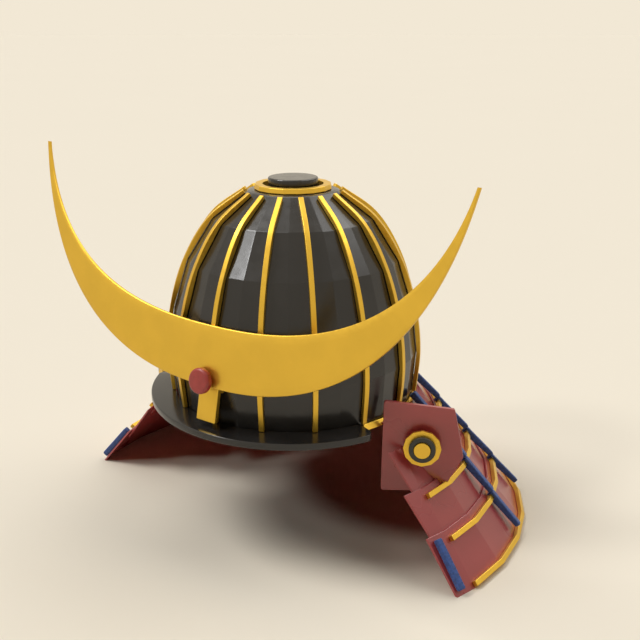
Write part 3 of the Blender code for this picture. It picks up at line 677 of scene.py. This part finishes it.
def lame_section(s, number, start, end, low, high):
    """The four corners of a section that lies on a lame's outer face, from low to high out from it."""
    downs = np.array([start, end, end, start])
    outs = np.array([lame_out(s, number, d) for d in downs]) + np.array([high, high, low, low])
    return np.array([on_cone(s, d, o) for d, o in zip(downs, outs)])


def plate_axes():
    """Along the plate, up it and out of it."""
    turn = math.radians(PLATE_TURN)
    tilt = math.radians(PLATE_TILT)
    along = np.array([math.cos(turn), math.sin(turn), 0.0])
    out = np.array([math.sin(turn) * math.cos(tilt), -math.cos(turn) * math.cos(tilt), math.sin(tilt)])
    return along, np.cross(out, along), out


def folded_rows(section, half_gap, end_plane=None):
    """The section at each fold from the right end round the back to the left end.

    Where a plane ends the piece, the end section is where the flat between its first two folds meets it.
    """
    rows = turned_points(section, np.arange(half_gap, 360.0 - half_gap + FOLD / 2, FOLD))
    if end_plane:
        point, normal = end_plane
        before = (rows[0] - point) @ normal
        after = (rows[1] - point) @ normal
        share = (before / (before - after))[:, None]
        rows[0] += (rows[1] - rows[0]) * share
        rows[-1] = rows[0] * np.array([-1.0, 1.0, 1.0])
    return rows


def front_plane(s, number):
    """The plane that both front ends of a lame lie in: a point on it and its normal."""
    top, bottom = lame_span(s, number)
    high = on_cone(s, top, 0.0)[1]
    low = on_cone(s, bottom, 0.0)[1]
    front_high, front_low = LAME_FRONTS[number]
    normal = np.array([0.0, -(high - low), front_low - front_high])
    return np.array([0.0, -front_high, high]), normal / np.linalg.norm(normal)


def behind_plate(s):
    """The plane just behind the right turned-back plate: a point on it and its normal."""
    out = plate_axes()[2]
    return PLATE_ORIGIN - out * (s.plate_thick + FIT), out


def build_lames(s):
    """Each lame is its section carried round the folds; the lowest ends level on the floor."""
    for number, half_gap in LAME_GAPS.items():
        start, end = lame_span(s, number)
        section = lame_section(s, number, start, end, -s.lame_thick, 0.0)
        if number == 4:
            slope = (section[3] - section[2]) / (section[3, 1] - section[2, 1])
            section[2] += slope * (section[1, 1] - section[2, 1])
        plane = behind_plate(s) if number == 1 else front_plane(s, number)
        rows = folded_rows(section, half_gap, plane)
        make_piece(f"red_lame_{number}", loft(rows), finish_of(red_lacquer),
                   [f"lame_{number}"], edge=s.lame_edge, edge_angle=FOLD_TURN)


def build_band(s):
    """The gilt band: its outer face is parallel to the top lame's inner face, its top meets the bowl."""
    start, end = lame_span(s, 1)
    under = -s.lame_thick - FIT
    line = np.array([on_cone(s, d, lame_out(s, 1, d) + under) for d in (start, end)])
    slope = (line[1, 0] - line[0, 0]) / (line[1, 1] - line[0, 1])
    heights = np.array([0.0, -s.band_height])
    outer = line[0, 0] + slope * (heights - line[0, 1])
    inner = radius_at(bowl_rings(s), 0.0) + FIT
    section = np.array([
        (outer[0], heights[0]),
        (outer[1], heights[1]),
        (inner, heights[1]),
        (inner, heights[0]),
    ])
    make_piece("gilt_base_band", loft(folded_rows(section, BAND_GAP)), finish_of(fire_gilding),
               ["base_band"], edge=BAND_EDGE, edge_angle=FOLD_TURN)


def trim_middles(s):
    """Each trim's lame, and its middle down the slope."""
    places = [(number, lame_span(s, number)[0] + drop) for number, drop in TRIM_PLACES]
    places.append((4, lame_span(s, 4)[1] - LAST_TRIM_RISE))
    return places


def build_trims(s):
    """Square gilt bars laid round the lames' folds."""
    for index, (number, middle) in enumerate(trim_middles(s)):
        half = s.trim_width / 2
        section = lame_section(s, number, middle - half, middle + half, FIT, FIT + s.trim_height)
        plane = behind_plate(s) if index == 0 else None
        rows = folded_rows(section, TRIM_GAP, plane)
        make_piece(f"gilt_trim_{index + 1}", loft(rows), finish_of(fire_gilding),
                   [f"trim_{index + 1}"], edge=s.trim_edge, edge_angle=FOLD_TURN)


# The lacing

def lace_axes(s, angle, start, end):
    """Down the slope, across it and out of it, on the flat between two folds or on the fold itself."""
    fold = angle / FOLD
    on_line = abs(fold - round(fold)) < 0.01
    middle = angle if on_line else (math.floor(fold) + 0.5) * FOLD
    flat = 1.0 if on_line else math.cos(math.radians(FOLD / 2))
    flat /= math.cos(math.radians(angle - middle))
    rings = on_cone(s, np.array([start, end]), np.zeros(2))
    ends = aims(np.array(angle)) * (rings[:, :1] * flat)
    ends[:, 2] = rings[:, 1]
    down = (ends[1] - ends[0]) / np.linalg.norm(ends[1] - ends[0])
    across = aims(np.array(middle + 90.0))
    out = np.cross(across, down)
    out /= np.linalg.norm(out)
    if out[2] < 0:
        out = -out
    return ends[0], down, across, out


def lace_surface(s, angle, start, end, under, over, crossed=None):
    """A braided bar: a rounded section along the slope, drawn to a rounded end at both ends.

    Its surface rises and falls with a chevron of stitches: the phase grows along the bar and falls
    away to both sides of its middle. Where it crosses a trim, its underside is raised over the trim.
    """
    origin, down, across, out = lace_axes(s, angle, start, end)
    run = end - start - FIT
    even = np.linspace(0, 1, int(run / s.lace_stitch * BRAID_ROWS))
    # rows stand closer together towards both ends
    t = (0.25 * (1 - np.cos(np.pi * even)) / 2 + 0.75 * even) * run
    low = np.interp(t, [0, run], under)
    high = np.interp(t, [0, run], over)
    if crossed:
        middle, top = crossed
        near = np.abs(t + start - middle) < s.trim_width / 2 + 2 * FIT
        low = np.where(near, np.maximum(low, top + FIT), low)
    near_end = np.clip(np.minimum(t, run - t) / BRAID_END, 0, 1)
    swell = BRAID_END_SHARE + (1 - BRAID_END_SHARE) * np.sqrt(1 - (1 - near_end) ** 2)
    swell[[0, -1]] = 0.0
    theta = np.linspace(0, 2 * np.pi, BRAID_AROUND, endpoint=False)
    x = (np.sign(np.cos(theta)) * np.abs(np.cos(theta)) ** BRAID_SQUARE)[None, :]
    y = (np.sign(np.sin(theta)) * np.abs(np.sin(theta)) ** BRAID_SQUARE)[None, :]
    half = s.lace_width / 2
    phase = t[:, None] / s.lace_stitch - np.abs(x) * BRAID_SLANT
    stitch = np.abs(np.sin(np.pi * phase)) ** BRAID_FULLNESS - 1.0
    groove = -np.exp(-(x / BRAID_GROOVE) ** 2) * BRAID_GROOVE_SHARE * (y > 0)
    press = 1.0 + (stitch + groove) * BRAID_RELIEF / half
    sideways = x * half * swell[:, None] * press
    outwards = ((low + high) / 2)[:, None] + y * ((high - low) / 2 * swell)[:, None] * press
    points = origin + t[:, None, None] * down + sideways[..., None] * across + outwards[..., None] * out
    return loft(points, capped=False)


def lace_joints(s):
    """Where one bar ends and the next begins, down the slope."""
    middles = [middle for _, middle in trim_middles(s)]
    return [-LACE_TOP] + [middle - LACE_TUCK for middle in middles[:3]] + [middles[3] - LAST_LACE_TUCK]


def build_lacing(s):
    """Two bars on the lowest lame's front ends, and chains of four bars down the neck guard."""
    silk = finish_of(braided_silk)
    joints = lace_joints(s)
    middles = trim_middles(s)
    start = lame_span(s, 4)[0] + FRONT_LACE_TOP
    end = lame_span(s, 4)[1] - FRONT_LACE_FOOT
    under = (lame_out(s, 4, start) + FIT, lame_out(s, 4, end) + FIT)
    over = (FRONT_LACE_OUT, FRONT_LACE_OUT)
    for mark, side in (("r", 1), ("l", -1)):
        surface = lace_surface(s, side * FRONT_LACE_ANGLE, start, end, under, over)
        make_piece(f"silk_front_{mark}", surface, silk, [f"lace_front_{mark}"], smooth=50.0)
    for chain, angle in LACE_CHAINS:
        for number in range(1, 5):
            start, end = joints[number - 1], joints[number]
            if chain == "centre" and number == 1:
                start = lame_span(s, 1)[0]
            under = (lame_out(s, number, start) + FIT, LACE_TAIL_OUT)
            over = (LACE_HEAD_OUT + s.lace_thick, LACE_TAIL_OUT + s.lace_thick)
            crossed = None
            if number > 1:
                middle = middles[number - 2][1]
                crossed = (middle, lame_out(s, number, middle) + FIT + s.trim_height)
            surface = lace_surface(s, angle, start, end, under, over, crossed)
            name = f"lace_{chain}_{number}"
            make_piece(f"silk_{chain}_{number}", surface, silk, [name], smooth=50.0)


# The turned-back plates and their discs

def build_plates(s):
    """The slotted plates, with their flats whole and edges eased."""
    for mark in "rl":
        eased_copy(f"red_turnback_{mark}", f"turnback_plate_{mark}", finish_of(red_lacquer),
                   s.plate_edge)


def build_discs(s):
    """A twelve-sided gilt disc with its boss and stem, and a turned dark ring round the boss."""
    along, up, out = plate_axes()
    centre = PLATE_ORIGIN + along * DISC_PLACE[0] + up * DISC_PLACE[1]
    foot = s.disc_standoff + s.disc_thick + FIT
    top = foot + s.disc_ring_height - FIT
    inner = s.boss_radius + FIT
    rim = s.disc_ring_radius
    ring = eased_corners([(inner, foot), (rim, foot), (rim, top), (inner, top)], DARK_RING_CORNER)
    around = turns_in(along, up, 48)
    points = centre + ring[None, :, :1] * around[:, None, :] + ring[None, :, 1:] * out
    for mark, side in (("r", 1.0), ("l", -1.0)):
        eased_copy(f"gilt_disc_{mark}", f"disc_gilt_{mark}", finish_of(fire_gilding),
                    DISC_EDGE)
        mirrored = points * np.array([side, 1.0, 1.0])
        make_piece(f"dark_ring_{mark}", loft(mirrored, rows_closed=True), finish_of(ring_lacquer),
                   [f"disc_ring_{mark}"], smooth=40.0)


# The front crest

def crest_axes():
    """Across the crest, up its leaning plane and out of it, and where the plane meets the base line."""
    lean = math.radians(CREST_LEAN)
    across = np.array([1.0, 0.0, 0.0])
    up = np.array([0.0, math.sin(lean), math.cos(lean)])
    return np.array([0.0, -CREST_PLANE_OUT, 0.0]), across, up, np.cross(across, up)


def bezier(knots, share):
    """A cubic Bezier arc through its first and last knots."""
    a, b, c, d = (np.asarray(k, float)[None, :] for k in knots)
    t = share[:, None]
    return (1 - t) ** 3 * a + 3 * (1 - t) ** 2 * t * b + 3 * (1 - t) * t ** 2 * c + t ** 3 * d


def crest_edge(s, middle, level_reach, handle, aside):
    """One edge from the middle to aside of a tip, on a Bezier arc; its points draw closer to the tip."""
    span, tip = s.crest_half_span, s.crest_tip_height
    handle = (handle[0] * span, handle[1] * tip)
    knots = [(0, middle), (level_reach * span, middle), handle, (span + aside, tip)]
    return bezier(knots, np.linspace(0, 1, CREST_STEPS) ** 0.9)


def build_crescent(s):
    """A section between two Bezier edges, from tip to tip.

    The lower edge is notched over the stud's neck. The section has eased front and back edges,
    and its front is very slightly crowned, as beaten plate is.
    """
    half = s.crest_tip_width / 2
    lower = crest_edge(s, s.crest_lower, CREST_LOWER_REACH, CREST_LOWER_HANDLE, half)
    upper = crest_edge(s, s.crest_upper, CREST_UPPER_REACH, CREST_UPPER_HANDLE, -half)
    notch = STUD_NECK + FIT
    inside = np.clip(notch ** 2 - lower[:, 0] ** 2, 0, None)
    raised = STUD_HEIGHT + np.sqrt(inside)
    lower[:, 1] = np.where(lower[:, 0] < notch, np.maximum(lower[:, 1], raised), lower[:, 1])
    flip = np.array([-1.0, 1.0])
    lower = np.vstack([lower[:0:-1] * flip, lower])
    upper = np.vstack([upper[:0:-1] * flip, upper])
    way = upper - lower
    width = np.linalg.norm(way, axis=1, keepdims=True)
    way /= width
    ease = np.minimum(CREST_EDGE, width / 4)
    inset = 1 - np.sin(np.radians(np.linspace(0, 90, 4)))
    flat = np.linspace(0, 1, 7)[1:-1]
    level = ease + (width - 2 * ease) * flat
    reach = np.concatenate([ease * inset[::-1], level, width - ease * inset], axis=1)
    depth = np.concatenate([-ease * inset, 0 * ease * flat, -ease * inset[::-1]], axis=1)
    front = lower[:, None] + way[:, None] * reach[..., None]
    crown = CREST_CROWN * np.linspace(-1, 1, reach.shape[1]) ** 2 * np.minimum(width / CREST_CROWN_WIDTH, 1)
    places = np.concatenate([front, front[:, ::-1]], axis=1)
    depths = np.concatenate([depth - crown, -s.crest_thick - depth[:, ::-1]], axis=1)
    origin, across, up, out = crest_axes()
    points = origin + places[..., :1] * across + places[..., 1:] * up + depths[..., None] * out
    make_piece("gilt_crescent", loft(points), finish_of(fire_gilding), ["crest_crescent"],
               smooth=35.0)


def build_holder(s):
    """The tab that carries the crescent, with its flats whole and edges eased."""
    eased_copy("gilt_crest_holder", "crest_holder", finish_of(fire_gilding), s.plate_edge)


def build_stud(s):
    """The stud's head, collar and neck turned on an axis square to the crest."""
    lean = np.radians(np.linspace(0, 90, 8))
    turn = s.stud_round
    edge = np.stack([
        s.stud_radius - turn + turn * np.sin(lean),
        s.stud_face - turn + turn * np.cos(lean),
    ], axis=1)
    under = np.stack([
        s.stud_radius - turn / 2 + turn / 2 * np.cos(lean),
        STUD_BACK + turn / 2 - turn / 2 * np.sin(lean),
    ], axis=1)
    collar = [(STUD_COLLAR, STUD_BACK), (STUD_COLLAR, FIT)]
    neck = [(STUD_NECK, FIT), (STUD_NECK, -s.crest_thick), (0.0, -s.crest_thick)]
    profile = np.vstack([[0.0, s.stud_face], edge, under, collar, neck])
    origin, across, up, out = crest_axes()
    centre = origin + up * STUD_HEIGHT
    around = turns_in(across, up, 64)
    points = centre + profile[None, :, :1] * around[:, None, :] + profile[None, :, 1:] * out
    rows, columns = points.shape[:2]
    surface = (points.reshape(-1, 3), grid_faces(rows, columns, True, False).tolist())
    make_piece("red_stud", surface, finish_of(stud_lacquer), ["crest_stud"], smooth=40.0)


# The studio

# name, then azimuth, elevation and width in degrees, then strength
LAMPS = (
    ("key", -62.0, 54.0, 24.0, 1.55),
    ("front", -33.0, 39.0, 9.0, 0.4),
    ("high", -45.0, 70.0, 26.0, 0.25),
    ("back_left", -130.0, 62.0, 34.0, 0.48),
    ("back", 180.0, 45.0, 34.0, 0.45),
    ("back_right", 135.0, 52.0, 40.0, 0.85),
)


# the camera's direction in degrees as a lamp's, its distance, and its aim behind the axis and above the base
CAMERA_SIDE = (35.0, 18.4)
CAMERA_AWAY = 0.84408
CAMERA_AIM = (0.04107, 0.05027)
# sensor width and lens in millimetres
CAMERA_SENSOR = 36.0
CAMERA_LENS = 49.455
FLOOR_RADIUS = 60.0


def toward(azimuth, elevation):
    """The unit vector that points so many degrees round from the front towards +X, and up."""
    turn, rise = math.radians(azimuth), math.radians(elevation)
    return Vector((math.sin(turn) * math.cos(rise), -math.cos(turn) * math.cos(rise), math.sin(rise)))


def sun(name, azimuth, elevation, width, strength):
    """A lamp far away that seems this many degrees wide."""
    lamp = bpy.data.lights.new(name, "SUN")
    lamp.energy = strength
    lamp.angle = math.radians(width)
    thing = bpy.data.objects.new(name, lamp)
    bpy.context.scene.collection.objects.link(thing)
    thing.rotation_euler = toward(azimuth, elevation).to_track_quat("Z", "Y").to_euler()


def build_air():
    """A pale world that polished surfaces mirror; the lamps alone light the matt ones."""
    world = bpy.data.worlds.new("studio_air")
    bpy.context.scene.world = world
    world.use_nodes = True
    world.node_tree.nodes["Background"].inputs["Color"].default_value = (*linear(PALE), 1.0)
    world.cycles_visibility.diffuse = False


def build_stage():
    """A wide paper floor, soft lamps round the helmet, and the camera."""
    scene = bpy.context.scene
    scene.view_settings.view_transform = "Standard"
    rim = turns_in(np.array([1.0, 0.0, 0.0]), np.array([0.0, 1.0, 0.0]), 64) * FLOOR_RADIUS
    mesh = bpy.data.meshes.new("paper_floor")
    mesh.from_pydata(rim.tolist(), [], [list(range(len(rim)))])
    mesh.materials.append(finish_of(studio_paper))
    floor = bpy.data.objects.new("paper_floor", mesh)
    scene.collection.objects.link(floor)
    build_air()
    for lamp in LAMPS:
        sun(*lamp)

    camera = bpy.data.objects.new("camera", bpy.data.cameras.new("camera"))
    scene.collection.objects.link(camera)
    way = toward(*CAMERA_SIDE)
    camera.location = Vector((0.0, AXIS_Y + CAMERA_AIM[0], BASE_Z + CAMERA_AIM[1])) + way * CAMERA_AWAY
    camera.rotation_euler = (-way).to_track_quat("-Z", "Y").to_euler()
    camera.data.sensor_width = CAMERA_SENSOR
    camera.data.lens = CAMERA_LENS
    camera.data.clip_end = FLOOR_RADIUS
    scene.camera = camera


# Operators

class KABUTO_OT_bowl(Operator):
    """Builds the faceted iron bowl"""
    bl_idname = "kabuto.bowl"
    bl_label = "Bowl"

    def execute(self, context):
        build_bowl(context.scene.kabuto_sizes)
        return {"FINISHED"}


class KABUTO_OT_ribs(Operator):
    """Builds the gilt ribs over the bowl"""
    bl_idname = "kabuto.ribs"
    bl_label = "Ribs"

    def execute(self, context):
        build_ribs(context.scene.kabuto_sizes)
        return {"FINISHED"}


class KABUTO_OT_crown(Operator):
    """Builds the crown ring and its cap"""
    bl_idname = "kabuto.crown"
    bl_label = "Crown fittings"

    def execute(self, context):
        build_crown(context.scene.kabuto_sizes)
        return {"FINISHED"}


class KABUTO_OT_visor(Operator):
    """Builds the visor and the gilt band round the base"""
    bl_idname = "kabuto.visor"
    bl_label = "Visor and base band"

    def execute(self, context):
        build_visor(context.scene.kabuto_sizes)
        build_band(context.scene.kabuto_sizes)
        return {"FINISHED"}


class KABUTO_OT_neck_guard(Operator):
    """Builds the four red lames and their gilt trims"""
    bl_idname = "kabuto.neck_guard"
    bl_label = "Neck guard"

    def execute(self, context):
        build_lames(context.scene.kabuto_sizes)
        build_trims(context.scene.kabuto_sizes)
        return {"FINISHED"}


class KABUTO_OT_lacing(Operator):
    """Builds the braided silk lacing"""
    bl_idname = "kabuto.lacing"
    bl_label = "Lacing"

    def execute(self, context):
        build_lacing(context.scene.kabuto_sizes)
        return {"FINISHED"}


class KABUTO_OT_plates(Operator):
    """Builds the turned-back plates with their discs and rings"""
    bl_idname = "kabuto.plates"
    bl_label = "Turned-back plates"

    def execute(self, context):
        build_plates(context.scene.kabuto_sizes)
        build_discs(context.scene.kabuto_sizes)
        return {"FINISHED"}


class KABUTO_OT_crest(Operator):
    """Builds the crescent, its holder and its stud"""
    bl_idname = "kabuto.crest"
    bl_label = "Crest"

    def execute(self, context):
        build_crescent(context.scene.kabuto_sizes)
        build_holder(context.scene.kabuto_sizes)
        build_stud(context.scene.kabuto_sizes)
        return {"FINISHED"}


class KABUTO_OT_stage(Operator):
    """Builds the paper floor, the lamps and the camera"""
    bl_idname = "kabuto.stage"
    bl_label = "Studio"

    def execute(self, context):
        build_stage()
        return {"FINISHED"}


OPERATORS = (
    KABUTO_OT_bowl,
    KABUTO_OT_ribs,
    KABUTO_OT_crown,
    KABUTO_OT_visor,
    KABUTO_OT_neck_guard,
    KABUTO_OT_lacing,
    KABUTO_OT_plates,
    KABUTO_OT_crest,
    KABUTO_OT_stage,
)


class KABUTO_PT_sidebar(Panel):
    """Lists the helmet's sizes, colours and building steps"""
    bl_idname = "KABUTO_PT_sidebar"
    bl_label = "Kabuto Helmet"
    bl_space_type = "VIEW_3D"
    bl_region_type = "UI"
    bl_category = "Kabuto"

    def draw(self, context):
        for operator in OPERATORS:
            self.layout.operator(operator.bl_idname)
        for group in (context.scene.kabuto_sizes, context.scene.kabuto_colours):
            box = self.layout.box()
            for name in group.bl_rna.properties.keys():
                if name not in {"rna_type", "name"}:
                    box.prop(group, name)


CLASSES = (KabutoSizes, KabutoColours, *OPERATORS, KABUTO_PT_sidebar)


def register():
    for cls in CLASSES:
        bpy.utils.register_class(cls)
    bpy.types.Scene.kabuto_sizes = PointerProperty(type=KabutoSizes)
    bpy.types.Scene.kabuto_colours = PointerProperty(type=KabutoColours)


def unregister():
    del bpy.types.Scene.kabuto_colours
    del bpy.types.Scene.kabuto_sizes
    for cls in reversed(CLASSES):
        bpy.utils.unregister_class(cls)


def main():
    register()
    bpy.ops.kabuto.bowl()
    bpy.ops.kabuto.ribs()
    bpy.ops.kabuto.crown()
    bpy.ops.kabuto.visor()
    bpy.ops.kabuto.neck_guard()
    bpy.ops.kabuto.lacing()
    bpy.ops.kabuto.plates()
    bpy.ops.kabuto.crest()
    bpy.ops.kabuto.stage()


if __name__ == "__main__":
    main()
